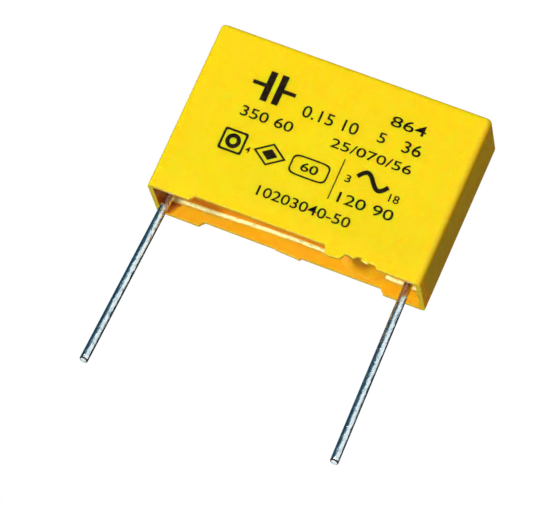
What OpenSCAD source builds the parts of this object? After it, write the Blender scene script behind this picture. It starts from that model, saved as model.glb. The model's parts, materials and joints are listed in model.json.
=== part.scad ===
// Box film capacitor for a through-hole board. Millimetres, +Z up.
// The origin is the centre of the seating plane, where the stand-off feet meet the board.
// The case rises above it, the leads point down from it, and the marked face looks along -Y.

/* [Case] */
// Length of the moulded case, along the row of leads
case_length = 26; // [18:0.5:34]
// Thickness of the case, from the marked face to the back
case_thickness = 7; // [6:0.5:12]
// Height of the case above the board
case_height = 16.5; // [14:0.5:22]
// Thickness of the four walls at their open rim
rim_wall = 0.5; // [0.4:0.05:0.7]
// Draft angle of the moulding core, which thickens the walls towards the closed end
draft_angle = 1; // [0:0.25:1.5]
// Thickness of the closed end
roof_thickness = 0.8; // [0.6:0.1:1.2]
// Radius of the four upright outer edges
upright_radius = 0.6; // [0.5:0.1:1.2]
// Radius of the outer edges round the closed end
roof_radius = 0.4; // [0.2:0.1:0.7]
// Radius of the upright corners inside the case
inner_radius = 0.4; // [0.2:0.1:0.6]

/* [Stand-off feet] */
// Length of each foot along the long walls
foot_length = 3.95; // [3:0.25:6]
// Height of the feet, which is the depth of the washing gap between them
foot_height = 0.5; // [0.3:0.1:0.8]
// Length of the slope from a foot up into the gap
foot_ramp = 0.6; // [0.3:0.1:1.2]

/* [Resin] */
// Depth of the resin surface above the seating plane
resin_recess = 1.8; // [1.2:0.1:2.4]
// Radius of the meniscus along the walls
wall_meniscus_radius = 0.4; // [0.3:0.05:0.6]
// Height that the resin climbs the walls
wall_meniscus_climb = 0.28; // [0.1:0.02:0.28]
// Radius of the meniscus round each lead
lead_meniscus_radius = 0.25; // [0.15:0.05:0.35]

/* [Wound element] */
// Resin between the element and each long wall at the closed end
element_side_gap = 0.3; // [0.2:0.1:0.6]
// Resin between the element and the closed end
element_roof_gap = 0.4; // [0.2:0.1:1]
// Resin between the element and the resin surface
element_cover = 1.5; // [1:0.25:2.5]
// Thickness of the plain film wrapped round the roll
wrap_thickness = 0.15; // [0.1:0.05:0.3]
// Width of the slit left in the pressed roll by its spindle
slit_width = 0.12; // [0.1:0.02:0.3]
// Thickness of the metal sprayed on each end of the roll
spray_thickness = 0.65; // [0.5:0.05:0.9]

/* [Leads] */
// Distance from each end of the case to the middle of the lead's weld
lead_inset = 1.75; // [1.5:0.05:3]
// Diameter of the tinned wire
lead_diameter = 0.8; // [0.6:0.1:0.9]
// Angle that the left lead leans outwards from its weld to the seating plane
left_splay_angle = 2.3; // [0:0.05:2.5]
// Angle that the right lead leans outwards from its weld to the seating plane
right_splay_angle = 0.5; // [0:0.05:2.5]
// Angle that the left lead's free end leans outwards
left_free_angle = 2.85; // [0:0.05:6]
// Angle that the right lead's free end leans outwards
right_free_angle = 1.1; // [0:0.05:6]
// Length of the left lead's free end, below the seating plane
left_free_length = 16.2; // [4:0.2:25]
// Length of the right lead's free end, below the seating plane
right_free_length = 16.6; // [4:0.2:25]
// Swelling of the wire where its free end is bent, at the seating plane
bend_swell = 0.03; // [0.02:0.01:0.06]
// Length of each lead that is welded to the sprayed metal
weld_length = 7; // [4:0.5:9]
// Depth that a lead is sunk into the sprayed metal at the middle of its weld
weld_sink = 0.15; // [0.05:0.05:0.25]

/* [Hidden] */
$fn = 48;
// Overshoot of every cutting solid past the face that it cuts
overcut = 1;

// The cavity is widest at the rim and narrows towards the closed end
cavity_depth = case_height - roof_thickness;
cavity_rim_length = case_length - 2 * rim_wall;
cavity_rim_thickness = case_thickness - 2 * rim_wall;
cavity_roof_length = cavity_rim_length - 2 * cavity_depth * tan(draft_angle);
cavity_roof_thickness = cavity_rim_thickness - 2 * cavity_depth * tan(draft_angle);
// Narrowing of the cavity between the rim and the resin surface
recess_narrowing = 2 * resin_recess * tan(draft_angle);

// The wrapped roll stands in the cavity, its axis along X
element_bottom = resin_recess + element_cover;
element_top = cavity_depth - element_roof_gap;
element_height = element_top - element_bottom;
element_thickness = cavity_roof_thickness - 2 * element_side_gap;
element_middle = (element_top + element_bottom) / 2;
roll_height = element_height - 2 * wrap_thickness;
roll_thickness = element_thickness - 2 * wrap_thickness;

// The leads press into the sprayed ends, so their pitch sets the length of the roll
lead_pitch = case_length - 2 * lead_inset;
lead_radius = lead_diameter / 2;
// The straight stretches of a wire stop this far short of the middle of its bend, inside the swelling
bend_gap = 0.03;
spray_face = lead_pitch / 2 - lead_radius + weld_sink;
roll_end = spray_face - spray_thickness;

// Rectangle with round corners, centred on the origin
module rounded_rectangle(width, height, radius) {
    square([width - 2 * radius, height], center = true);
    square([width, height - 2 * radius], center = true);
    for (side = [-1, 1], end = [-1, 1])
        translate([side * (width / 2 - radius), end * (height / 2 - radius)])
            circle(r = radius);
}

// Upright outline that stands on the X axis, with its two top corners round
module arched_profile(width, height, radius) {
    translate([-width / 2, 0])
        square([width, height - radius]);
    translate([0, (height - radius) / 2 + radius / 2])
        rounded_rectangle(width, height, radius);
}

// Block that stands on the seating plane, with round upright edges and round top edges
module softened_block(length, thickness, height, upright, top) {
    intersection() {
        linear_extrude(height = height)
            rounded_rectangle(length, thickness, upright);
        translate([0, thickness / 2, 0])
            rotate([90, 0, 0])
                linear_extrude(height = thickness)
                    arched_profile(length, height, top);
        translate([-length / 2, 0, 0])
            rotate([90, 0, 90])
                linear_extrude(height = length)
                    arched_profile(thickness, height, top);
    }
}

// Inside of the case, from the seating plane up to the closed end
module cavity() {
    linear_extrude(height = cavity_depth, slices = 1,
                   scale = [cavity_roof_length / cavity_rim_length,
                            cavity_roof_thickness / cavity_rim_thickness])
        rounded_rectangle(cavity_rim_length, cavity_rim_thickness, inner_radius);
}

// Gap between the feet of both long walls, with a slope at each end
module washing_gap() {
    gap_half = case_length / 2 - foot_length;
    ramp_slope = foot_ramp / foot_height;
    translate([0, case_thickness / 2 + overcut, 0])
        rotate([90, 0, 0])
            linear_extrude(height = case_thickness + 2 * overcut)
                polygon([[-gap_half - ramp_slope * overcut, -overcut],
                         [gap_half + ramp_slope * overcut, -overcut],
                         [gap_half - foot_ramp, foot_height],
                         [-gap_half + foot_ramp, foot_height]]);
}

// Outline of the pressed roll, seen along its axis
module roll_outline(height, thickness) {
    square([thickness, height - thickness], center = true);
    for (end = [-1, 1])
        translate([0, end * (height - thickness) / 2])
            circle(d = thickness);
}

// Carries an outline in the YZ plane along X between two places
module along_x(from, to) {
    translate([from, 0, element_middle])
        rotate([90, 0, 90])
            linear_extrude(height = to - from)
                children();
}

// The roll, its wrap and its sprayed ends together, as the resin finds them
module element_envelope() {
    along_x(-spray_face, spray_face)
        roll_outline(element_height, element_thickness);
}

// Puts something made along +Z on the upper stretch of a lead on the right:
// z = 0 is the middle of the weld, and +Z runs down the lead towards the board
module on_upper_lead(splay_angle) {
    translate([lead_pitch / 2, 0, element_middle])
        rotate([0, 180 - splay_angle, 0])
            children();
}

// Round wire on the right: down from the top of its weld, a slight bend, and the free end to its cut tip
module lead_wire(splay_angle, free_angle, free_length) {
    bend_place = element_middle / cos(splay_angle);
    on_upper_lead(splay_angle) {
        translate([0, 0, -weld_length / 2])
            cylinder(d = lead_diameter, h = weld_length / 2 + bend_place - bend_gap);
        translate([0, 0, bend_place]) {
            sphere(d = lead_diameter + 2 * bend_swell);
            rotate([0, splay_angle - free_angle, 0])
                translate([0, 0, bend_gap])
                    cylinder(d = lead_diameter, h = free_length - bend_gap);
        }
    }
}

module right_wire() {
    lead_wire(right_splay_angle, right_free_angle, right_free_length);
}

module left_wire() {
    mirror([1, 0, 0])
        lead_wire(left_splay_angle, left_free_angle, left_free_length);
}

// Flared collar of resin where a lead on the right leaves the surface
module lead_meniscus(splay_angle) {
    collar_radius = lead_radius + lead_meniscus_radius;
    on_upper_lead(splay_angle)
        translate([0, 0, (element_middle - resin_recess) / cos(splay_angle)])
            rotate_extrude()
                difference() {
                    translate([0, -lead_meniscus_radius])
                        square([collar_radius, 2 * lead_meniscus_radius]);
                    translate([collar_radius, lead_meniscus_radius])
                        circle(r = lead_meniscus_radius);
                }
}

// Air below the resin: its round upper edges leave a meniscus on the walls
module recess_air() {
    softened_block(cavity_rim_length - recess_narrowing, cavity_rim_thickness - recess_narrowing,
                   resin_recess, inner_radius, wall_meniscus_radius);
}

// One moulded box, open towards the board, with four feet at the ends of its long walls
module case() {
    color("gold")
        difference() {
            softened_block(case_length, case_thickness, case_height, upright_radius, roof_radius);
            cavity();
            washing_gap();
        }
}

// Cast resin that fills the case round the element and holds the leads
module resin_fill() {
    surface_bottom = resin_recess - wall_meniscus_climb;
    color("orange")
        difference() {
            union() {
                difference() {
                    intersection() {
                        cavity();
                        translate([-case_length / 2, -case_thickness / 2, surface_bottom])
                            cube([case_length, case_thickness, case_height]);
                    }
                    recess_air();
                }
                lead_meniscus(right_splay_angle);
                mirror([1, 0, 0])
                    lead_meniscus(left_splay_angle);
            }
            element_envelope();
            left_wire();
            right_wire();
        }
}

// Metallised film rolled on a spindle and pressed flat, which closes the spindle's hole to a slit
module film_winding() {
    color("lightsteelblue")
        difference() {
            along_x(-roll_end, roll_end)
                roll_outline(roll_height, roll_thickness);
            along_x(-roll_end - overcut, roll_end + overcut)
                roll_outline(roll_height - roll_thickness, slit_width);
        }
}

// Plain film sealed round the roll
module outer_wrap() {
    color("ghostwhite")
        difference() {
            along_x(-roll_end, roll_end)
                roll_outline(element_height, element_thickness);
            along_x(-roll_end - overcut, roll_end + overcut)
                roll_outline(roll_height, roll_thickness);
        }
}

// Metal sprayed on the right end of the roll
module end_spray() {
    along_x(roll_end, spray_face)
        roll_outline(element_height, element_thickness);
}

// Each sprayed end has a groove where its lead is welded in
module end_spray_left() {
    color("darkgray")
        difference() {
            mirror([1, 0, 0])
                end_spray();
            left_wire();
        }
}

module end_spray_right() {
    color("darkgray")
        difference() {
            end_spray();
            right_wire();
        }
}

module lead_left() {
    color("silver")
        left_wire();
}

module lead_right() {
    color("silver")
        right_wire();
}

case();
resin_fill();
film_winding();
outer_wrap();
end_spray_left();
end_spray_right();
lead_left();
lead_right();
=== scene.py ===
# %% [markdown]
# # A box film capacitor
#
# The part is a yellow moulded box, open on the side that meets the circuit board. Orange resin is cast
# into it, and two tinned wires come out of the resin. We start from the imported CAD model, which fixes
# every size and place, and give each piece the shape detail and the finish of the real thing.
# One unit is a metre, so small lengths are written as a number times MM.

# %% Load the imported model
import json
import math

import bmesh
import bpy
from mathutils import Matrix, Vector


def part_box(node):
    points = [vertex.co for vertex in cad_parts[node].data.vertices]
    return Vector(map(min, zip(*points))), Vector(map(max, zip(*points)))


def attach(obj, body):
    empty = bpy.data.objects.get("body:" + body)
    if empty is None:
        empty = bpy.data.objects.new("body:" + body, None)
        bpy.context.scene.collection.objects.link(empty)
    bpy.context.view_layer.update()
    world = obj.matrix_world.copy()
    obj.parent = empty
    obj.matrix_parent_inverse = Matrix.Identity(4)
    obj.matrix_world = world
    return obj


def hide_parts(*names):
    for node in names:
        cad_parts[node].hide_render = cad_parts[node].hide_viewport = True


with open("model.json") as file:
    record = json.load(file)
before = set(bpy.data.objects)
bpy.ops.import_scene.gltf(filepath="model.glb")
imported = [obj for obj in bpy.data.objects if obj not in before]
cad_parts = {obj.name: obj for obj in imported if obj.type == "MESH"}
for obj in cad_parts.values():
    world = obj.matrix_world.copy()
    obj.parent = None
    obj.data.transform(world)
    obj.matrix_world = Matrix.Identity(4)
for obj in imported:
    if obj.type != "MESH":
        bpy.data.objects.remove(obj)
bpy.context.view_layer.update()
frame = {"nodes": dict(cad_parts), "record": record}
MM = 0.001

# %% [markdown]
# ## Sizes
#
# The box, the resin and the wires already exist in the frame, so their sizes are read from it. What the
# frame can't tell us, such as the thickness of a wall at its rim, is a named value here.

# %% Read the sizes
case_low, case_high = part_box("case")
case_length = case_high.x - case_low.x
case_thickness = case_high.y - case_low.y
case_height = case_high.z
front_y = case_low.y
back_y = case_high.y

rim_wall = 0.5 * MM
roof_thickness = 0.8 * MM
draft_angle = math.radians(1)
upright_radius = 0.6 * MM
roof_radius = 0.4 * MM
inner_radius = 0.4 * MM
gap_depth = 0.5 * MM
foot_length = 4.05 * MM
foot_ramp = 0.45 * MM
print("case in mm:", round(case_length / MM, 2), round(case_thickness / MM, 2), round(case_height / MM, 2))

# %% [markdown]
# ## Helpers for modelling by hand
#
# An operator acts on whatever is selected, so each piece starts from an empty selection. Faces and edges
# are then picked in code, by where they are and which way they look, as you would click on them.


# %% Start, pick and finish
def select_only(piece):
    """Makes one object the only selected one, and the active one."""
    if bpy.context.mode != "OBJECT":
        bpy.ops.object.mode_set(mode="OBJECT")
    bpy.ops.object.select_all(action="DESELECT")
    piece.select_set(True)
    bpy.context.view_layer.objects.active = piece


def new_box(name, low, high):
    """A cube primitive that fills the space between two corners."""
    bpy.ops.object.select_all(action="DESELECT")
    low, high = Vector(low), Vector(high)
    bpy.ops.mesh.primitive_cube_add(size=1, location=(low + high) / 2, scale=high - low)
    piece = bpy.context.object
    piece.name = name
    bpy.ops.object.transform_apply(location=True, rotation=True, scale=True)
    return piece


def edit(piece):
    """Opens a piece in edit mode with nothing selected."""
    select_only(piece)
    bpy.ops.object.mode_set(mode="EDIT")
    bpy.ops.mesh.select_all(action="DESELECT")


def pick(kind, test):
    """Selects the faces ("FACE"), edges ("EDGE") or points ("VERT") of the open mesh that pass a test."""
    bpy.ops.mesh.select_mode(type=kind)
    bpy.ops.mesh.select_all(action="DESELECT")
    mesh = bmesh.from_edit_mesh(bpy.context.object.data)
    parts = {"FACE": mesh.faces, "EDGE": mesh.edges, "VERT": mesh.verts}[kind]
    for part in parts:
        if test(part):
            part.select_set(True)
    mesh.select_flush_mode()
    bmesh.update_edit_mesh(bpy.context.object.data)


def close(piece):
    """Leaves edit mode."""
    bpy.ops.object.mode_set(mode="OBJECT")
    return piece


def apply_modifier(piece, kind, **settings):
    """Adds one modifier with its settings and applies it."""
    select_only(piece)
    modifier = piece.modifiers.new(kind.title(), kind)
    for setting, value in settings.items():
        setattr(modifier, setting, value)
    bpy.ops.object.modifier_apply(modifier=modifier.name)


def cut_away(piece, tool, operation="DIFFERENCE"):
    """Cuts a tool out of a piece, or joins it on, and removes the tool."""
    apply_modifier(piece, "BOOLEAN", operation=operation, object=tool, solver="EXACT")
    bpy.data.objects.remove(tool)


def smooth(piece, angle=35):
    """Shades the piece smooth, apart from edges sharper than an angle."""
    select_only(piece)
    bpy.ops.object.shade_smooth_by_angle(angle=math.radians(angle))


# %% [markdown]
# ## Helpers for materials
#
# Every finish here is a Principled shader fed by a few noise patterns. The patterns read Object
# coordinates, so they stay on the piece when the view moves. Coordinates are in metres: a noise scale of
# 1000 gives blotches about a millimetre across.


# %% Node helpers
class Finish:
    """A material with its Principled shader, and short ways to add the usual nodes."""

    def __init__(self, name):
        self.material = bpy.data.materials.new(name)
        self.material.use_nodes = True
        self.nodes = self.material.node_tree.nodes
        self.links = self.material.node_tree.links
        self.shader = self.nodes["Principled BSDF"]
        self.place = self.nodes.new("ShaderNodeTexCoord").outputs["Object"]

    def add(self, kind, **settings):
        node = self.nodes.new(kind)
        for setting, value in settings.items():
            setattr(node, setting, value)
        return node

    def plug(self, value, socket):
        """Gives a socket a number, a colour or another node's output."""
        if isinstance(value, bpy.types.NodeSocket):
            self.links.new(value, socket)
        else:
            socket.default_value = value

    def stretched(self, scale):
        """Object coordinates scaled differently along each axis."""
        node = self.add("ShaderNodeMapping")
        self.plug(self.place, node.inputs["Vector"])
        node.inputs["Scale"].default_value = scale
        return node.outputs["Vector"]

    def noise(self, scale, detail=2.0, roughness=0.5, place=None):
        node = self.add("ShaderNodeTexNoise")
        self.plug(place or self.place, node.inputs["Vector"])
        node.inputs["Scale"].default_value = scale
        node.inputs["Detail"].default_value = detail
        node.inputs["Roughness"].default_value = roughness
        return node.outputs["Fac"]

    def remap(self, value, from_low, from_high, to_low, to_high):
        """Stretches one range of values to another, and holds it at both ends."""
        node = self.add("ShaderNodeMapRange")
        self.plug(value, node.inputs["Value"])
        node.inputs["From Min"].default_value = from_low
        node.inputs["From Max"].default_value = from_high
        node.inputs["To Min"].default_value = to_low
        node.inputs["To Max"].default_value = to_high
        return node.outputs["Result"]

    def math(self, operation, first, second=0.0):
        node = self.add("ShaderNodeMath", operation=operation)
        self.plug(first, node.inputs[0])
        self.plug(second, node.inputs[1])
        return node.outputs[0]

    def mix(self, share, first, second):
        """A blend of two colours: the first at share 0, the second at share 1."""
        node = self.add("ShaderNodeMix", data_type="RGBA")
        self.plug(share, node.inputs["Factor"])
        self.plug(first, node.inputs[6])
        self.plug(second, node.inputs[7])
        return node.outputs[2]

    def bump(self, height, distance, strength=1.0, under=None):
        """Relief from a pattern, laid over an earlier relief if one is given."""
        node = self.add("ShaderNodeBump")
        self.plug(height, node.inputs["Height"])
        node.inputs["Distance"].default_value = distance
        node.inputs["Strength"].default_value = strength
        if under is not None:
            self.plug(under, node.inputs["Normal"])
        return node.outputs["Normal"]

    def set(self, **values):
        """Sets sockets of the shader: base_color=..., roughness=..."""
        for socket, value in values.items():
            self.plug(value, self.shader.inputs[socket.replace("_", " ").title()])
        return self


def rgb(red, green, blue):
    return (red, green, blue, 1.0)


# %% [markdown]
# ## The camera
#
# The object is seen from a little below and a little to the right, through a long lens, and the camera
# is rolled by about a quarter of a right angle. It looks at a point near the seating plane.

# %% Place the camera
view_azimuth = math.radians(13.95)
view_elevation = math.radians(-15.87)
view_roll = math.radians(24.39)
view_distance = 310.3 * MM
view_target = Vector((-0.733, 0, -0.768)) * MM
sensor_width = 36
lens_length = 231.7
near_clip, far_clip = 0.01, 20

towards_camera = Vector(
    (
        math.sin(view_azimuth) * math.cos(view_elevation),
        -math.cos(view_azimuth) * math.cos(view_elevation),
        math.sin(view_elevation),
    )
)
bpy.ops.object.select_all(action="DESELECT")
bpy.ops.object.camera_add(location=view_target + towards_camera * view_distance)
camera = bpy.context.object
camera.name = "camera"
level_view = (-towards_camera).to_track_quat("-Z", "Y").to_matrix()
camera.rotation_euler = (level_view @ Matrix.Rotation(view_roll, 3, "Z")).to_euler()
camera.data.sensor_width = sensor_width
camera.data.lens = lens_length
camera.data.clip_start = near_clip
camera.data.clip_end = far_clip
bpy.context.scene.camera = camera
print("camera at", [round(v / MM, 1) for v in camera.location], "mm")

# %% [markdown]
# ## The moulded case
#
# The real case is one injection-moulded shell. Its outside is a block with rounded upright edges and a
# rounded closed end. Its inside was left by a steel core, which has rounded corners of its own and
# narrows a little towards the closed end so that it could be drawn out. We make the same two shapes and
# cut one out of the other, which gives a rim of true thickness, wider in its corners.

# %% Outside of the shell
tiny = 0.001 * MM


def bevel_upright_edges(height, radius, segments=10):
    """Rounds the edges of the open mesh that stand taller than half a height."""
    pick("EDGE", lambda e: abs(e.verts[0].co.z - e.verts[1].co.z) > height / 2)
    bpy.ops.mesh.bevel(offset=radius, segments=segments)


shell = new_box("moulded_case", case_low, case_high)
edit(shell)
bevel_upright_edges(case_height, upright_radius)
pick("EDGE", lambda e: min(v.co.z for v in e.verts) > case_height - tiny)
bpy.ops.mesh.bevel(offset=roof_radius, segments=8)
close(shell)
print("outside of the shell:", len(shell.data.polygons), "faces")

# %% Core of the mould
cavity_depth = case_height - roof_thickness
cavity_half = Vector((case_length / 2 - rim_wall, case_thickness / 2 - rim_wall, 0))
narrowing = math.tan(draft_angle)
core_overhang = 0.5 * MM


def core(name, bottom, clearance=0.0):
    """The space inside the walls from a height up to the closed end, less a clearance all round."""
    start = cavity_half - Vector((1, 1, 0)) * (bottom * narrowing + clearance)
    end = cavity_half - Vector((1, 1, 0)) * (cavity_depth * narrowing + clearance)
    low = Vector((-start.x, -start.y, bottom))
    high = Vector((start.x, start.y, cavity_depth - clearance))
    piece = new_box(name, low, high)
    edit(piece)
    bevel_upright_edges(cavity_depth - bottom, inner_radius)
    pick("FACE", lambda f: f.normal.z > 0.9)
    bpy.ops.transform.resize(value=(end.x / start.x, end.y / start.y, 1), center_override=(0, 0, high.z))
    return close(piece)


cut_away(shell, core("core", -core_overhang))
print("shell:", len(shell.data.polygons), "faces")

# %% [markdown]
# ### The rim
#
# The box stands on feet at the ends of its long walls, with a shallow gap between them so that flux can
# be washed out. On this piece the gap in the marked wall is half closed by moulding flash: a thin lip of
# the same plastic that hangs down a little and is torn off raggedly towards one foot. Each gap is cut with
# a plate that has sloped ends, and the one in the back leaves a low stub of flash standing. Then the lip,
# an outline with a few corners, is extruded to a little less than the thickness of the wall and joined on.

# %% Outlines that cut or build the rim
def plate(name, corners, y_low, y_high):
    """An outline in X and Z, in millimetres, extruded between two places along Y."""
    bpy.ops.object.select_all(action="DESELECT")
    mesh = bpy.data.meshes.new(name)
    piece = bpy.data.objects.new(name, mesh)
    bpy.context.scene.collection.objects.link(piece)
    mesh.from_pydata([(x * MM, y_low, z * MM) for x, z in corners], [], [range(len(corners))])
    edit(piece)
    bpy.ops.mesh.select_all(action="SELECT")
    bpy.ops.mesh.extrude_region_move(TRANSFORM_OT_translate={"value": (0, y_high - y_low, 0)})
    bpy.ops.mesh.select_all(action="SELECT")
    bpy.ops.mesh.normals_make_consistent(inside=False)
    return close(piece)


gap_end = (case_length / 2 - foot_length) / MM
ramp = foot_ramp / MM
depth = gap_depth / MM

left_foot, right_foot = (-gap_end - ramp, -depth), (gap_end + ramp, -depth)
gap_right, gap_left = (gap_end - ramp, depth), (ramp - gap_end, depth)
past_wall = MM

front_gap = plate(
    "front_gap", [left_foot, right_foot, gap_right, gap_left], front_y - past_wall, front_y + 2 * rim_wall
)
cut_away(shell, front_gap)

# %% Cut the back gap, with the stub of its own flash left standing
stub_outline = [
    (-1.75, depth), (-1.6, depth - 0.06), (-0.9, depth - 0.1),
    (0.2, depth - 0.14), (0.78, depth - 0.2), (0.88, depth),
]
back_gap = plate(
    "back_gap", [left_foot, right_foot, gap_right, *reversed(stub_outline), gap_left],
    back_y - 2 * rim_wall, back_y + past_wall,
)
cut_away(shell, back_gap)

# %% Join the torn lip on
lip_thickness = 0.42 * MM
lip_outline = [
    (3.84, 1.0), (3.86, 0.52), (4.04, 0.2), (4.16, -0.2), (4.5, -0.34), (5.1, -0.29), (5.5, -0.26),
    (5.66, -0.1), (5.76, 0.16), (5.98, 0.31), (6.3, 0.32), (6.52, 0.22), (6.68, 0.2), (6.84, 0.36),
    (7.04, 0.54), (7.34, 0.56), (7.42, 0.42), (7.3, 0.3), (7.62, 0.2), (7.98, 0.12), (8.1, 0.3),
    (8.7, 0.3), (8.86, 0.1), (9.2, 0.02), (9.2, 1.0),
]
lip = plate("lip", lip_outline, front_y, front_y + lip_thickness)
cut_away(shell, lip, "UNION")
print("shell with rim:", len(shell.data.polygons), "faces")

# %% [markdown]
# Behind the torn part of the lip the flash has also crept down the inside of the back wall, as a low slope
# that fades out at both ends. Its three-cornered section is extruded along the wall, and each new section
# is resized towards the corner where the slope starts. A station is a place along X, in millimetres, with
# the share of the full section that the slope has there.

# %% Slope of flash on the back wall
slope_top = 2.1 * MM
slope_foot = 0.75 * MM
slope_depth = 1.7 * MM
slope_root = 0.1 * MM
slope_stations = [
    (3.9, 0.05), (4.3, 0.55), (4.9, 0.85), (5.6, 1.0), (6.4, 0.93), (7.2, 1.0), (7.9, 0.9),
    (8.5, 0.6), (8.9, 0.05),
]
wall_y = back_y - rim_wall - slope_top * narrowing
corner = Vector((slope_stations[0][0] * MM, wall_y + slope_root, slope_top))
section = [corner, corner + Vector((0, -slope_depth, 0)), corner + Vector((0, 0, slope_foot - slope_top))]
slope_mesh = bpy.data.meshes.new("slope")
slope = bpy.data.objects.new("slope", slope_mesh)
bpy.context.scene.collection.objects.link(slope)
slope_mesh.from_pydata(section, [], [(0, 1, 2)])
edit(slope)
bpy.ops.mesh.select_all(action="SELECT")
share = slope_stations[0][1]
bpy.ops.transform.resize(value=(1, share, share), center_override=corner)
for station, next_share in slope_stations[1:]:
    step = station * MM - corner.x
    bpy.ops.mesh.extrude_region_move(TRANSFORM_OT_translate={"value": (step, 0, 0)})
    corner = corner + Vector((step, 0, 0))
    bpy.ops.transform.resize(value=(1, next_share / share, next_share / share), center_override=corner)
    share = next_share
bpy.ops.mesh.select_all(action="SELECT")
bpy.ops.mesh.normals_make_consistent(inside=False)
close(slope)
cut_away(shell, slope, "UNION")
print("shell with flash:", len(shell.data.polygons), "faces")

# %% [markdown]
# Moulded edges are never perfectly sharp. A narrow bevel on every edge that is left catches the light.
# Smooth shading alone would bend the large flat walls towards the roundings beside them, so a Weighted
# Normal modifier lets each large face keep its own direction.

# %% Soften the edges
edge_bevel = 0.05 * MM
apply_modifier(
    shell, "BEVEL", width=edge_bevel, segments=2, limit_method="ANGLE", angle_limit=math.radians(30),
    use_clamp_overlap=True, harden_normals=False,
)
smooth(shell, 30)
apply_modifier(shell, "WEIGHTED_NORMAL", mode="FACE_AREA", weight=100, keep_sharp=True)
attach(shell, "root")
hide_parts("case")
print("case:", len(shell.data.polygons), "faces")

# %% [markdown]
# ## The cast resin
#
# The resin is poured into the upturned case round the roll. It wets the walls and the wires, so its
# surface climbs each of them in a small concave curve, the meniscus, which catches a bright line of
# light all along the back wall. Resin also shrinks as it cures, so its middle sinks a little. The block of
# resin is cast in the same core shape as the case, and a rounded block of air, with its upper face bowed
# by the same amount, is cut out of its underside.

# %% Block of resin and its meniscus
resin_low, resin_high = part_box("resin_fill")
print("resin in the CAD model, from", round(resin_low.z / MM, 2), "to", round(resin_high.z / MM, 2), "mm")
resin_level = 2.0 * MM
meniscus_radius = 0.8 * MM
contact_line = resin_level - meniscus_radius
skin_gap = 0.003 * MM
sag = 0.35 * MM
sag_cuts = 23

resin = core("cast_resin", contact_line, skin_gap)
recess_half = cavity_half - Vector((1, 1, 0)) * (contact_line * narrowing + skin_gap)
air = new_box("air", (-recess_half.x, -recess_half.y, -MM), (recess_half.x, recess_half.y, resin_level))
edit(air)
pick("EDGE", lambda e: abs(e.verts[0].co.x - e.verts[1].co.x) > recess_half.x)
bpy.ops.mesh.subdivide(number_cuts=sag_cuts)
for cut in range(1, sag_cuts + 1):
    x = recess_half.x * (2 * cut / (sag_cuts + 1) - 1)
    pick("VERT", lambda v: v.co.z > resin_level - tiny and abs(v.co.x - x) < tiny)
    depth_here = sag * math.cos(math.pi / 2 * x / recess_half.x) ** 2
    bpy.ops.transform.translate(value=(0, 0, depth_here))
pick("EDGE", lambda e: min(v.co.z for v in e.verts) < 0 < max(v.co.z for v in e.verts)
     and abs(e.verts[0].co.x) > recess_half.x - tiny)
bpy.ops.mesh.bevel(offset=meniscus_radius, segments=10)
pick("EDGE", lambda e: len(e.link_faces) == 2 and min(v.co.z for v in e.verts) > resin_level - tiny
     and min(abs(f.normal.z) for f in e.link_faces) < 0.5 < max(abs(f.normal.z) for f in e.link_faces))
bpy.ops.mesh.bevel(offset=meniscus_radius, segments=14)
close(air)
cut_away(resin, air)
print("resin:", len(resin.data.polygons), "faces")

# %% [markdown]
# Round each wire the resin climbs in a little collar. A disc is extruded down in steps, and each ring is
# drawn in a little more, which traces the same kind of curve.

# %% Collars round the wires
lead_radius = 0.4 * MM
lead_pitch = 22.5 * MM
weld_middle = 9.3 * MM
mounts = {mount["name"]: mount for mount in frame["record"]["mounts"]}
seats = {name: Vector(mounts[name + "_end"]["pos_m"]) for name in ("lead_left", "lead_right")}
free_ways = {name: Vector(mounts[name + "_end"]["axis"]).normalized() for name in seats}
free_lengths = {name: mounts[name + "_end"]["dims"]["length_mm"] * MM for name in seats}
weld_x = {name: math.copysign(lead_pitch / 2, seat.x) for name, seat in seats.items()}
welds = {name: Vector((x, 0, weld_middle)) for name, x in weld_x.items()}
collar_radius = 0.25 * MM
collar_root = 0.1 * MM
collar_steps = 6


def collar(name):
    """The meniscus round one wire, as a closed flared plug."""
    middle = welds[name].lerp(seats[name], 1 - resin_level / weld_middle)
    top = middle + Vector((0, 0, collar_root))
    bpy.ops.object.select_all(action="DESELECT")
    bpy.ops.mesh.primitive_circle_add(
        vertices=32, radius=lead_radius + collar_radius, fill_type="NGON", location=top
    )
    piece = bpy.context.object
    bpy.ops.object.transform_apply(location=True, rotation=True, scale=True)
    edit(piece)
    bpy.ops.mesh.select_all(action="SELECT")
    bpy.ops.mesh.extrude_region_move(TRANSFORM_OT_translate={"value": middle - top})
    radius, height = lead_radius + collar_radius, 0.0
    for step in range(1, collar_steps + 1):
        turn = math.radians(90) * step / collar_steps
        next_radius = lead_radius + collar_radius * (1 - math.sin(turn)) - tiny
        next_height = collar_radius * (1 - math.cos(turn))
        bpy.ops.mesh.extrude_region_move(TRANSFORM_OT_translate={"value": (0, 0, height - next_height)})
        shrink = next_radius / radius
        bpy.ops.transform.resize(value=(shrink, shrink, 1), center_override=middle)
        radius, height = next_radius, next_height
    bpy.ops.mesh.select_all(action="SELECT")
    bpy.ops.mesh.normals_make_consistent(inside=False)
    return close(piece)


for name in seats:
    cut_away(resin, collar(name), "UNION")
smooth(resin, 40)
apply_modifier(resin, "WEIGHTED_NORMAL", mode="FACE_AREA", weight=100, keep_sharp=True)
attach(resin, "root")
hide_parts("resin_fill")
print("resin with collars:", len(resin.data.polygons), "faces")
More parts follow.
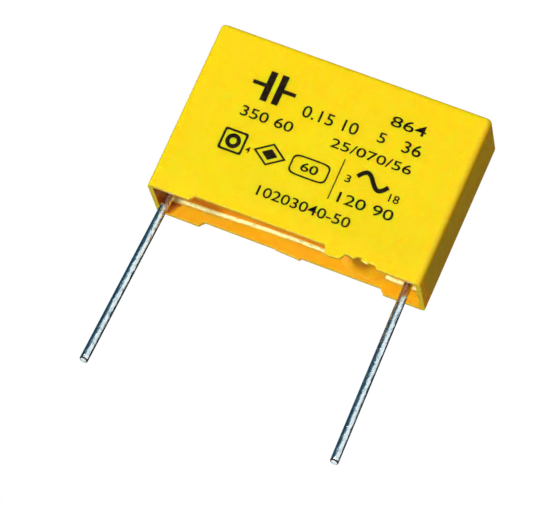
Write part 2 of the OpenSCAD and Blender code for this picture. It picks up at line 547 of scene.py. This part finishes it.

# %% [markdown]
# ## The leads
#
# A lead is one length of round wire. It starts as a ring at the top of its weld, and the ring is extruded
# along the wire: straight down through the resin, round a slight bend at the seating plane, and on to
# the tip. Side cutters come at the wire from the front, so the cut is a little slanted, with a rounded
# edge that is given a near-black finish. A soft tent of light leaves no shadow of such a thin wire on the
# wall behind it, and our small lamp would draw one, so the wires are set to cast none.

# %% Wires
weld_half = 3.5 * MM
bend_length = 1.0 * MM
bend_steps = 6
free_steps = 24
shoulder = 0.1 * MM
shoulder_turns = [math.radians(turn) for turn in (25, 50, 75)]
edge_width = 0.04 * MM
small_face = 0.005 * MM * MM
cut_slant = math.radians(18)


def wire(name):
    """One tinned wire, from its weld to its cut tip."""
    seat, free_way = seats[name], free_ways[name]
    upper_way = (seat - welds[name]).normalized()
    start = welds[name] - upper_way * weld_half
    bpy.ops.object.select_all(action="DESELECT")
    bpy.ops.mesh.primitive_circle_add(vertices=40, radius=lead_radius, fill_type="NGON", location=start)
    piece = bpy.context.object
    piece.name = name + "_wire"
    piece.rotation_euler = Vector((0, 0, 1)).rotation_difference(-upper_way).to_euler()
    bpy.ops.object.transform_apply(location=True, rotation=True, scale=True)
    edit(piece)
    bpy.ops.mesh.select_all(action="SELECT")
    place = start
    ways = [upper_way.lerp(free_way, (step + 0.5) / bend_steps).normalized() for step in range(bend_steps)]
    steps = [seat - upper_way * bend_length / 2 - start]
    steps += [way * bend_length / bend_steps for way in ways]
    steps += [free_way * (free_lengths[name] - bend_length / 2 - shoulder) / free_steps] * free_steps
    for step in steps:
        bpy.ops.mesh.extrude_region_move(TRANSFORM_OT_translate={"value": step})
        place = place + step
    rise = Vector((0, 0, lead_radius * math.tan(cut_slant)))
    bpy.ops.transform.translate(value=rise)
    place = place + rise
    bpy.ops.transform.rotate(value=cut_slant, orient_axis="X", center_override=place)
    radius, height = lead_radius, 0.0
    for turn in shoulder_turns:
        next_radius = lead_radius - shoulder * (1 - math.cos(turn))
        next_height = shoulder * math.sin(turn)
        step = free_way * (next_height - height)
        bpy.ops.mesh.extrude_region_move(TRANSFORM_OT_translate={"value": step})
        place = place + step
        shrink = next_radius / radius
        bpy.ops.transform.resize(value=(shrink, shrink, shrink), center_override=place)
        radius, height = next_radius, next_height
    bpy.ops.mesh.extrude_region_move(TRANSFORM_OT_translate={"value": free_way * tiny})
    shrink = 1 - edge_width / radius
    bpy.ops.transform.resize(value=(shrink, shrink, shrink), center_override=place)
    bpy.ops.mesh.select_all(action="SELECT")
    bpy.ops.mesh.normals_make_consistent(inside=False)
    close(piece)
    smooth(piece, 40)
    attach(piece, "root")
    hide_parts(name)
    return piece


wires = [wire(name) for name in seats]
for piece in wires:
    piece.visible_shadow = False
print("wires:", [len(w.data.polygons) for w in wires], "faces")

# %% [markdown]
# ## The printed marking
#
# The real marking is black ink, a few hundredths of a millimetre thick. Ours is generic: plain figures,
# and a few simple shapes, in lines of the size and place that such a marking has. Figures start as text,
# become a mesh, and are fitted between two places on the front.

# %% Printing helpers
ink_thickness = 0.015 * MM
print_pieces = []


def stand_on_front(piece, name):
    """Turns a flat drawing, in millimetres, up against the front face and gives it thickness."""
    piece.name = name
    piece.scale = (MM, MM, MM)
    piece.rotation_euler = (math.radians(90), 0, 0)
    piece.location = (0, front_y, 0)
    select_only(piece)
    bpy.ops.object.transform_apply(location=True, rotation=True, scale=True)
    edit(piece)
    bpy.ops.mesh.select_all(action="SELECT")
    bpy.ops.mesh.extrude_region_move(TRANSFORM_OT_translate={"value": (0, -ink_thickness, 0)})
    bpy.ops.mesh.select_all(action="SELECT")
    bpy.ops.mesh.normals_make_consistent(inside=False)
    close(piece)
    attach(piece, "root")
    print_pieces.append(piece)
    return piece


def figures(name, text, left, right, base, height, weight=0.004):
    """Plain figures that fill the space from left to right, standing on a base line. All in millimetres."""
    bpy.ops.object.select_all(action="DESELECT")
    bpy.ops.object.text_add()
    words = bpy.context.object
    words.data.body = text
    words.data.offset = weight
    bpy.ops.object.convert(target="MESH")
    xs = [v.co.x for v in words.data.vertices]
    ys = [v.co.y for v in words.data.vertices]
    across = (right - left) / (max(xs) - min(xs))
    up = height / (max(ys) - min(ys))
    to_corner = Matrix.Translation((-min(xs), -min(ys), 0))
    to_size = Matrix.Diagonal((across, up, 1, 1))
    to_place = Matrix.Translation((left, base, 0))
    words.data.transform(to_place @ to_size @ to_corner)
    return stand_on_front(words, name)


# %% Figures
figures("figures_upper", "0.15 10", -2.85, 2.4, 10.73, 1.13)
figures("figures_left", "350 60", -8.0, -3.05, 8.93, 0.99)
figures("figures_corner", "864", 4.8, 8.1, 12.72, 1.0)
figures("figure_single", "5", 4.3, 5.0, 10.88, 0.98)
figures("figures_pair", "36", 6.66, 8.4, 10.77, 1.12)
figures("figures_class", "25/070/56", 0.65, 8.25, 9.0, 0.88)
figures("figures_lower", "120 90", 3.2, 8.4, 4.45, 1.0)
figures("figures_base", "10203040-50", -3.63, 5.15, 2.52, 0.96)
print("figures:", len(print_pieces))

# %% [markdown]
# ### Shapes
#
# The shapes between the figures are common signs and plain outlines: the two plates of the circuit
# symbol for a capacitor, a washer in a square, two diamonds, a framed figure and a heavy wave. Each is
# drawn flat from simple outlines. A ring is an outer and an inner outline with the same number of points,
# bridged together.


# %% Flat shapes
def flat(name, outlines, bridged=False):
    """Flat faces from outlines in X and Z, in millimetres. With bridged, two outlines bound one ring."""
    mesh = bpy.data.meshes.new(name)
    piece = bpy.data.objects.new(name, mesh)
    bpy.context.scene.collection.objects.link(piece)
    points = [(x, z, 0) for outline in outlines for x, z in outline]
    if bridged:
        count = len(outlines[0])
        faces = [(i, (i + 1) % count, count + (i + 1) % count, count + i) for i in range(count)]
    else:
        starts = [sum(len(o) for o in outlines[:i]) for i in range(len(outlines))]
        faces = [tuple(range(start, start + len(o))) for start, o in zip(starts, outlines)]
    mesh.from_pydata(points, [], faces)
    select_only(piece)
    return piece


def bar(x, z, width, height):
    """The four corners of an upright rectangle about a centre."""
    across, up = width / 2, height / 2
    return [(x - across, z - up), (x + across, z - up), (x + across, z + up), (x - across, z + up)]


def ring_points(x, z, across, up, power=2.0, count=48):
    """A closed curve about a centre: a diamond at power 1, an ellipse at 2, and squarer above that."""
    points = []
    for i in range(count):
        c, s = math.cos(math.tau * i / count), math.sin(math.tau * i / count)
        out_x = math.copysign(abs(c) ** (2 / power), c)
        out_z = math.copysign(abs(s) ** (2 / power), s)
        points.append((x + across * out_x, z + up * out_z))
    return points


def ring(name, x, z, outer, inner, power=2.0):
    """A flat ring between two closed curves, each given by its half width and half height."""
    return flat(name, [ring_points(x, z, *outer, power), ring_points(x, z, *inner, power)], bridged=True)


def joined(pieces, name):
    """Several flat shapes as one piece."""
    select_only(pieces[0])
    for piece in pieces[1:]:
        piece.select_set(True)
    bpy.ops.object.join()
    return stand_on_front(bpy.context.object, name)


# %% Circuit symbol for a capacitor, the boldest mark
symbol_x, symbol_z = -6.05, 12.3
plates = [bar(symbol_x + side * 0.55, symbol_z, 0.62, 2.9) for side in (-1, 1)]
stubs = [bar(symbol_x + side * 1.45, symbol_z, 1.2, 0.36) for side in (-1, 1)]
joined([flat("plates", plates), flat("stubs", stubs)], "shape_capacitor")

# %% Square with a washer in it
square_x, square_z = -7.48, 6.43
square = ring("square", square_x, square_z, (1.13, 1.07), (0.93, 0.87), power=12)
washer = ring("washer", square_x, square_z, (0.7, 0.7), (0.32, 0.32))
joined([square, washer], "shape_square")
figures("figure_square", "4", -6.13, -5.73, 5.84, 0.6)

# %% Two diamonds, one in the other
diamond_x, diamond_z = -3.95, 6.4
diamond = ring("diamond", diamond_x, diamond_z, (1.55, 1.1), (1.26, 0.9), power=1)
kernel = flat("kernel", [ring_points(diamond_x, diamond_z, 0.75, 0.54, 1)])
joined([diamond, kernel], "shape_diamond")

# %% Framed figure
frame_x, frame_z = -0.15, 6.41
joined([ring("frame_ring", frame_x, frame_z, (1.8, 0.97), (1.65, 0.82), power=5)], "shape_frame")
figures("figures_frame", "60", -0.95, 0.65, 6.0, 0.84, weight=0.01)

# %% Heavy wave between two figures
wave_left, wave_right, wave_z = 4.05, 7.0, 7.3
wave_height, wave_weight = 0.62, 0.2
wave_length = wave_right - wave_left
wave_steps = 40
upper, lower = [], []
for i in range(wave_steps + 1):
    share = i / wave_steps
    turn = math.tau * share
    steepness = wave_height * math.tau / wave_length * math.cos(turn)
    side = Vector((-steepness, 1)).normalized() * wave_weight
    place = Vector((wave_left + share * wave_length, wave_z + wave_height * math.sin(turn)))
    upper.append(tuple(place + side))
    lower.append(tuple(place - side))
wave = bpy.data.meshes.new("wave")
wave.from_pydata(
    [(x, z, 0) for x, z in upper + lower], [],
    [(i, wave_steps + 1 + i, wave_steps + 2 + i, i + 1) for i in range(wave_steps)],
)
wave_piece = bpy.data.objects.new("wave", wave)
bpy.context.scene.collection.objects.link(wave_piece)
joined([wave_piece], "shape_wave")
figures("figure_wave_left", "3", 3.1, 3.62, 6.45, 0.7)
figures("figures_wave_right", "18", 7.4, 8.33, 6.1, 0.75)

# %% Divider
divider_x, divider_z = 2.43, 6.4
joined([flat("divider", [bar(divider_x, divider_z, 0.1, 3.96)])], "shape_divider")
print("printed pieces:", len(print_pieces))

# %% [markdown]
# ## Finishes
#
# **Case plastic.** Flame-proof polyester filled with glass: an even, slightly warm yellow with a satin
# gloss. Light enters it a little, which warms the edges of shadows. The tool's fine spark-eroded texture,
# slow flow marks and a few handling marks keep it from looking flat.

# %% Case plastic
def case_plastic(name, light, dark):
    finish = Finish(name)
    cloudy = finish.noise(140, 3)
    speckle = finish.noise(5200, 2)
    tone = finish.mix(finish.remap(cloudy, 0.35, 0.65, 0, 1), light, dark)
    tone = finish.mix(finish.remap(speckle, 0.62, 0.8, 0, 0.12), tone, rgb(0.75, 0.38, 0.01))
    grain = finish.noise(3600, 3, 0.6)
    ripple = finish.noise(260, 2)
    scuff = finish.noise(1.0, 4, 0.7, finish.stretched((300, 300, 2600)))
    gloss = finish.remap(finish.noise(420, 3), 0.3, 0.7, 0.24, 0.31)
    gloss = finish.math("ADD", gloss, finish.remap(scuff, 0.6, 0.8, 0.0, 0.08))
    normal = finish.bump(grain, 0.012 * MM, 0.5)
    normal = finish.bump(ripple, 0.05 * MM, 0.35, under=normal)
    finish.set(base_color=tone, roughness=gloss, normal=normal)
    finish.shader.inputs["Subsurface Weight"].default_value = 0.9
    finish.shader.inputs["Subsurface Radius"].default_value = (1.0, 0.22, 0.05)
    finish.shader.inputs["Subsurface Scale"].default_value = 1.2 * MM
    finish.shader.inputs["Specular IOR Level"].default_value = 0.32
    return finish


outer_plastic = case_plastic("case_plastic", rgb(0.97, 0.665, 0.003), rgb(0.95, 0.64, 0.002)).material
# The inside copy is darker and more orange: partly resin stain, partly painted shade and orange bounce
# light of the recess.
inside_stain_and_shade_finish = case_plastic("case_plastic_inside_stain_and_shade", rgb(0.82, 0.43, 0.003), rgb(0.77, 0.39, 0.003))
inner_stain_and_shade_plastic = inside_stain_and_shade_finish.material

# %% [markdown]
# Inside, the walls get a deeper, darker orange than the outside. This is partly the resin's stain, and
# partly painted shade and orange light bounced round the recess. Beside the left lead a painted shadow lies
# on them, dark red, where the left wall shades the back wall, and its edge slants across the corner. The
# mask is a straight ramp in X and Z with some noise in it, and it is mixed over the colour that the plastic
# already has.

# %% Painted shadow in the left corner
# Painted shadow: dark red mixed into the inside colour where the left wall's shadow falls on the back wall.
parts = inside_stain_and_shade_finish.add("ShaderNodeSeparateXYZ")
inside_stain_and_shade_finish.plug(inside_stain_and_shade_finish.place, parts.inputs[0])
painted_shadow_start = -12.0 * MM
painted_shadow_slant = 0.75
shadow_edge_here = inside_stain_and_shade_finish.math("MULTIPLY_ADD", parts.outputs["Z"], painted_shadow_slant)
shadow_edge_here.node.inputs[2].default_value = painted_shadow_start
beyond = inside_stain_and_shade_finish.math("SUBTRACT", parts.outputs["X"], shadow_edge_here)
ragged = inside_stain_and_shade_finish.math("MULTIPLY_ADD", inside_stain_and_shade_finish.noise(900, 3), 0.5 * MM)
inside_stain_and_shade_finish.plug(beyond, ragged.node.inputs[2])
# film is the mask of the painted shadow.
film = inside_stain_and_shade_finish.remap(ragged, 0.1 * MM, 0.55 * MM, 0.85, 0.0)
plain_tone = inside_stain_and_shade_finish.shader.inputs["Base Color"].links[0].from_socket
inside_stain_and_shade_finish.set(base_color=inside_stain_and_shade_finish.mix(film, plain_tone, rgb(0.26, 0.03, 0.002)))
# The x where the painted shadow starts.
print("film of resin from x =", round(painted_shadow_start / MM, 1), "mm")

# %% Assign the two plastics
shell.data.materials.clear()
shell.data.materials.append(outer_plastic)
shell.data.materials.append(inner_stain_and_shade_plastic)
edit(shell)
rim_share = 0.8
inside_length = case_length / 2 - rim_wall * rim_share
inside_thickness = case_thickness / 2 - rim_wall * rim_share


def is_inside(face):
    middle = face.calc_center_median()
    within = abs(middle.x) < inside_length and abs(middle.y) < inside_thickness
    return within and middle.z < cavity_depth + tiny and middle.z > tiny


pick("FACE", is_inside)
shell.active_material_index = 1
bpy.ops.object.material_slot_assign()
close(shell)
print("inside faces:", sum(p.material_index == 1 for p in shell.data.polygons))

# %% [markdown]
# ** Casting resin.** Poured as a liquid, so its surface is glossy and nearly level, with faint waves,
# dimples and a few pinholes. It is filled and slightly see-through at the very surface, which gives it
# depth. Where it climbs the back wall a painted highlight lies in its colour: a pale, patchy band in Y,
# close to the wall, broken up by noise, laid along the bright line that the meniscus catches.

# %% Casting resin
highlight_offset = 0.12 * MM
highlight_blur = 0.04 * MM


def casting_resin():
    finish = Finish("casting_resin")
    cloudy = finish.noise(420, 4)
    tone = finish.mix(finish.remap(cloudy, 0.35, 0.7, 0, 1), rgb(0.95, 0.36, 0.006), rgb(0.88, 0.29, 0.004))
    parts = finish.add("ShaderNodeSeparateXYZ")
    finish.plug(finish.place, parts.inputs[0])
    to_wall = finish.math("SUBTRACT", parts.outputs["Y"], recess_half.y)
    above = finish.remap(to_wall, -highlight_offset - highlight_blur, -highlight_offset, 0, 1)
    below = finish.remap(to_wall, -highlight_blur, 0.0, 1, 0)
    patchy = finish.remap(finish.noise(2600, 3), 0.32, 0.5, 0.45, 1)
    painted_highlight = finish.math("MULTIPLY", finish.math("MULTIPLY", above, below), patchy)
    # Painted highlight: pale yellow mixed into the colour along the meniscus at the back wall.
    tone = finish.mix(painted_highlight, tone, rgb(1.0, 0.90, 0.36))
    waves = finish.noise(700, 2, 0.4)
    dimples = finish.noise(4200, 2, 0.5)
    pins = finish.noise(4200, 1)
    normal = finish.bump(waves, 0.08 * MM, 0.8)
    normal = finish.bump(dimples, 0.09 * MM, 0.9, under=normal)
    normal = finish.bump(finish.remap(pins, 0.7, 0.78, 0, -1), 0.03 * MM, 0.5, under=normal)
    finish.set(base_color=tone, roughness=finish.remap(cloudy, 0.3, 0.7, 0.18, 0.26), normal=normal)
    finish.shader.inputs["Subsurface Weight"].default_value = 0.5
    finish.shader.inputs["Subsurface Radius"].default_value = (1.0, 0.35, 0.05)
    finish.shader.inputs["Subsurface Scale"].default_value = 0.4 * MM
    finish.shader.inputs["Specular Tint"].default_value = rgb(1.0, 0.88, 0.5)
    return finish.material


# %% [markdown]
# ** Tinned wire.** Bright tin on copper-clad steel. Drawing the wire leaves fine lines along it, and the
# dip in tin leaves ripples and dull flecks, which break its reflections into streaks. The rolled edge of
# the cut gets a near-black finish of its own.

# %% Tinned wire and its cut edge
def tinned_wire():
    finish = Finish("tinned_wire")
    streaks = finish.noise(1.0, 3, 0.6, finish.stretched((8000, 8000, 700)))
    ripple = finish.noise(1.0, 3, 0.6, finish.stretched((2600, 2600, 1500)))
    flecks = finish.noise(1.0, 2, 0.5, finish.stretched((5200, 5200, 2600)))
    tone = finish.mix(finish.remap(streaks, 0.35, 0.65, 0, 1), rgb(0.90, 0.97, 0.98), rgb(0.62, 0.80, 0.86))
    tone = finish.mix(finish.remap(flecks, 0.52, 0.66, 0, 0.8), tone, rgb(0.20, 0.36, 0.42))
    normal = finish.bump(ripple, 0.1 * MM, 0.8)
    normal = finish.bump(streaks, 0.016 * MM, 0.8, under=normal)
    finish.set(base_color=tone, roughness=finish.remap(streaks, 0.3, 0.7, 0.14, 0.26), normal=normal)
    finish.shader.inputs["Metallic"].default_value = 1.0
    return finish.material


def dark_tip_rim():
    """The rolled edge of the cut end, in near black."""
    finish = Finish("dark_tip_rim")
    stain = finish.noise(5000, 2)
    tone = finish.mix(stain, rgb(0.012, 0.009, 0.007), rgb(0.05, 0.035, 0.025))
    finish.set(base_color=tone, roughness=finish.remap(stain, 0.3, 0.7, 0.45, 0.6),
               normal=finish.bump(stain, 0.01 * MM, 0.5))
    finish.shader.inputs["Specular IOR Level"].default_value = 0.2
    return finish.material


# %% [markdown]
# **Marking ink.** Dense black, a little warm, drier and less glossy than the plastic, with a slightly
# uneven film.

# %% Marking ink
def marking_ink():
    finish = Finish("marking_ink")
    film = finish.noise(3000, 3)
    black, brown = rgb(0.006, 0.004, 0.003), rgb(0.03, 0.018, 0.008)
    tone = finish.mix(finish.remap(film, 0.4, 0.75, 0, 1), black, brown)
    normal = finish.bump(film, 0.004 * MM, 0.4)
    finish.set(base_color=tone, roughness=finish.remap(film, 0.3, 0.7, 0.7, 0.85), normal=normal)
    finish.shader.inputs["Specular IOR Level"].default_value = 0.05
    return finish.material


# %% [markdown]
# **The sealed inner pieces.** They can't be seen in the whole part, but someone may cut it open: rolled
# film with a thin metal layer, its clear wrap, and grainy sprayed zinc on both ends.

# %% Inner pieces
def metallised_film():
    finish = Finish("metallised_film")
    turns = finish.noise(1.0, 2, 0.5, finish.stretched((40, 5000, 900)))
    tone = finish.mix(finish.remap(turns, 0.3, 0.7, 0, 1), rgb(0.42, 0.47, 0.52), rgb(0.30, 0.33, 0.38))
    finish.set(base_color=tone, roughness=finish.remap(turns, 0.3, 0.7, 0.22, 0.35),
               normal=finish.bump(turns, 0.01 * MM, 0.5))
    finish.shader.inputs["Metallic"].default_value = 0.7
    return finish.material


def plain_film():
    finish = Finish("plain_film")
    creases = finish.noise(1.0, 3, 0.6, finish.stretched((200, 900, 900)))
    tone = finish.mix(finish.remap(creases, 0.3, 0.7, 0, 1), rgb(0.78, 0.79, 0.77), rgb(0.66, 0.67, 0.66))
    finish.set(base_color=tone, roughness=finish.remap(creases, 0.3, 0.7, 0.18, 0.3),
               normal=finish.bump(creases, 0.02 * MM, 0.5))
    return finish.material


def sprayed_metal():
    finish = Finish("sprayed_metal")
    grains = finish.noise(4200, 4, 0.7)
    tone = finish.mix(finish.remap(grains, 0.3, 0.7, 0, 1), rgb(0.20, 0.21, 0.22), rgb(0.36, 0.37, 0.38))
    finish.set(base_color=tone, roughness=finish.remap(grains, 0.3, 0.7, 0.6, 0.8),
               normal=finish.bump(grains, 0.06 * MM, 0.9))
    finish.shader.inputs["Metallic"].default_value = 0.8
    return finish.material


# %% Give every piece its finish
def dress(piece, material):
    piece.data.materials.clear()
    piece.data.materials.append(material)


nodes = frame["nodes"]
dress(resin, casting_resin())
dress(nodes["film_winding"], metallised_film())
dress(nodes["outer_wrap"], plain_film())
zinc = sprayed_metal()
for end in ("end_spray_left", "end_spray_right"):
    dress(nodes[end], zinc)
tin, dark_rim = tinned_wire(), dark_tip_rim()
for piece in wires:
    dress(piece, tin)
    piece.data.materials.append(dark_rim)
    edit(piece)
    pick("FACE", lambda f: len(f.verts) == 4 and f.calc_area() < small_face)
    piece.active_material_index = 1
    bpy.ops.object.material_slot_assign()
    close(piece)
ink = marking_ink()
for piece in print_pieces:
    dress(piece, ink)
print("finishes:", len(bpy.data.materials))

# %% [markdown]
# ## The studio
#
# A capacitor can't stand on its wires, so it is held above a pale floor. One small soft box stands in
# front, a little to the left and below, and draws the shadow edges. A second one, behind and above,
# lights the sides that the first can't reach. The world gives a plain white background, and a much dimmer
# light from all round.

# %% Floor
floor_depth = 0.4
floor_size = 6
floor_glow = 0.76
bpy.ops.object.select_all(action="DESELECT")
bpy.ops.mesh.primitive_plane_add(size=floor_size, location=(0, 0, -floor_depth))
floor = bpy.context.object
floor.name = "floor"
floor_finish = Finish("floor")
rays_there = floor_finish.add("ShaderNodeLightPath").outputs
floor_seen = floor_finish.math("MAXIMUM", rays_there["Is Camera Ray"], rays_there["Is Glossy Ray"])
floor_seen = floor_finish.math("MAXIMUM", floor_seen, rays_there["Is Transmission Ray"])
floor_tone = floor_finish.mix(floor_finish.noise(6, 2), rgb(0.86, 0.86, 0.86), rgb(0.9, 0.9, 0.9))
floor_shine = floor_finish.math("MULTIPLY", floor_seen, floor_glow)
floor_finish.set(base_color=floor_tone, roughness=0.8, emission_strength=floor_shine)
floor_finish.shader.inputs["Emission Color"].default_value = rgb(1, 1, 1)
dress(floor, floor_finish.material)
print("floor at", -round(floor_depth / MM), "mm")

# %% [markdown]
# The world is plain white where the camera or a reflection sees it. The dim light that it sheds is neutral,
# and a little warmer from the right, as from a wooden bench beside the light tent.

# %% World
ambient = rgb(0.2, 0.2, 0.2)
ambient_right = rgb(0.42, 0.26, 0.11)
world = bpy.data.worlds.new("studio")
bpy.context.scene.world = world
world.use_nodes = True
world_nodes, world_links = world.node_tree.nodes, world.node_tree.links
background = world_nodes["Background"]
rays = world_nodes.new("ShaderNodeLightPath")
seen = world_nodes.new("ShaderNodeMath")
seen.operation = "MAXIMUM"
world_links.new(rays.outputs["Is Camera Ray"], seen.inputs[0])
world_links.new(rays.outputs["Is Glossy Ray"], seen.inputs[1])
seen_through = world_nodes.new("ShaderNodeMath")
seen_through.operation = "MAXIMUM"
world_links.new(seen.outputs[0], seen_through.inputs[0])
world_links.new(rays.outputs["Is Transmission Ray"], seen_through.inputs[1])
way = world_nodes.new("ShaderNodeTexCoord")
way_parts = world_nodes.new("ShaderNodeSeparateXYZ")
world_links.new(way.outputs["Generated"], way_parts.inputs[0])
dim = world_nodes.new("ShaderNodeMix")
dim.data_type = "RGBA"
world_links.new(way_parts.outputs["X"], dim.inputs["Factor"])
dim.inputs[6].default_value = ambient
dim.inputs[7].default_value = ambient_right
shown = world_nodes.new("ShaderNodeMix")
shown.data_type = "RGBA"
world_links.new(seen_through.outputs[0], shown.inputs["Factor"])
world_links.new(dim.outputs[2], shown.inputs[6])
shown.inputs[7].default_value = rgb(1, 1, 1)
world_links.new(shown.outputs[2], background.inputs["Color"])
print("world nodes:", len(world_nodes))

# %% [markdown]
# ### Lights
#
# Each soft box is a square lamp that faces the object. Its level is written for a white card at the
# object, so one number can be judged against another whatever the distance. A narrower spread would make
# the same lamp brighter in its beam, so its energy is brought down to match.

# %% Lights
def around(azimuth, elevation, distance):
    """A place round the object: azimuth 0 is in front of the marked face, positive to the right."""
    a, e = math.radians(azimuth), math.radians(elevation)
    return Vector((math.sin(a) * math.cos(e), -math.cos(a) * math.cos(e), math.sin(e))) * distance


def soft_light(name, azimuth, elevation, distance, size, level, spread=180):
    """A square soft box. At level 1 a white card at the object, square to the light, comes out white."""
    bpy.ops.object.select_all(action="DESELECT")
    bpy.ops.object.light_add(type="AREA", location=around(azimuth, elevation, distance))
    light = bpy.context.object
    light.name = name
    light.data.shape = "SQUARE"
    light.data.size = size
    light.data.energy = level * (math.pi * distance) ** 2
    if spread < 180:
        half_spread = math.radians(spread / 2)
        light.data.spread = 2 * half_spread
        light.data.energy *= 1 - half_spread / math.tan(half_spread)
    light.rotation_euler = (-light.location).to_track_quat("-Z", "Y").to_euler()
    light.visible_camera = False
    return light


key_light = soft_light("key_light", -14, -15, 0.7, 0.08, 0.93)
back_light = soft_light("back_light", 186, 48, 0.9, 0.5, 0.85, spread=40)
back_light.visible_glossy = False

# %% [markdown]
# ### Cards
#
# A shiny wire shows what stands round it. In a studio, dark cards are put up for the metal to reflect: they
# draw its edges, and a gap between them lets the white background show as its highlight. Here a ring of
# upright cards stands round the object, with the gap from the camera round to the right. One more lies
# overhead, one stands low behind, and one lies below and in front. They show in reflections only, so they
# neither light the object nor shade it.

# %% Cards
def card(name, location, rotation, width, height, colour):
    """A card that shows in reflections only."""
    bpy.ops.object.select_all(action="DESELECT")
    bpy.ops.mesh.primitive_plane_add(size=1, location=location, rotation=rotation)
    piece = bpy.context.object
    piece.name = name
    piece.scale = (width, height, 1)
    finish = Finish(name)
    glow = finish.add("ShaderNodeEmission")
    glow.inputs["Color"].default_value = colour
    output = next(n for n in finish.nodes if n.type == "OUTPUT_MATERIAL")
    finish.links.new(glow.outputs[0], output.inputs["Surface"])
    dress(piece, finish.material)
    piece.visible_camera = False
    piece.visible_diffuse = False
    piece.visible_shadow = False
    piece.visible_transmission = False
    return piece


ring_radius = 1.0
ring_top = 1.1
upright = math.radians(90)
sky = rgb(0.22, 0.36, 0.44)
navy = rgb(0.008, 0.045, 0.085)
teal = rgb(0.015, 0.09, 0.13)
slate = rgb(0.03, 0.045, 0.06)
black = rgb(0.008, 0.009, 0.01)
table_edge, floor_edge = -0.12, -0.38
sectors = [
    (-165, -135, table_edge, sky), (-135, -105, table_edge, teal), (-105, -75, floor_edge, navy),
    (-75, -45, floor_edge, navy), (-45, -4, floor_edge, teal), (86, 116, table_edge, slate),
    (116, 142, table_edge, black), (142, 168, table_edge, black), (168, 195, table_edge, slate),
]
for start, end, low_edge, colour in sectors:
    middle, half = math.radians((start + end) / 2), math.radians((end - start) / 2)
    place = around((start + end) / 2, 0, ring_radius * math.cos(half))
    place.z = (low_edge + ring_top) / 2
    width = 2 * ring_radius * math.sin(half)
    card(f"card_{start % 360}", place, (upright, 0, middle), width, ring_top - low_edge, colour)
overhead_size = 1.6
card("card_overhead", (0, 0, ring_top), (0, 0, 0), overhead_size, overhead_size, slate)
card("card_low", (-12 * MM, 60 * MM, -16 * MM), (upright, 0, 0), 95 * MM, 22 * MM, black)
card("card_under", (0, -60 * MM, -75 * MM), (0, 0, 0), 160 * MM, 130 * MM, black)

# %% [markdown]
# ## Finish
#
# The view transform is Standard, so a colour renders as it is written.

# %% Set the view transform
bpy.context.scene.view_settings.view_transform = "Standard"
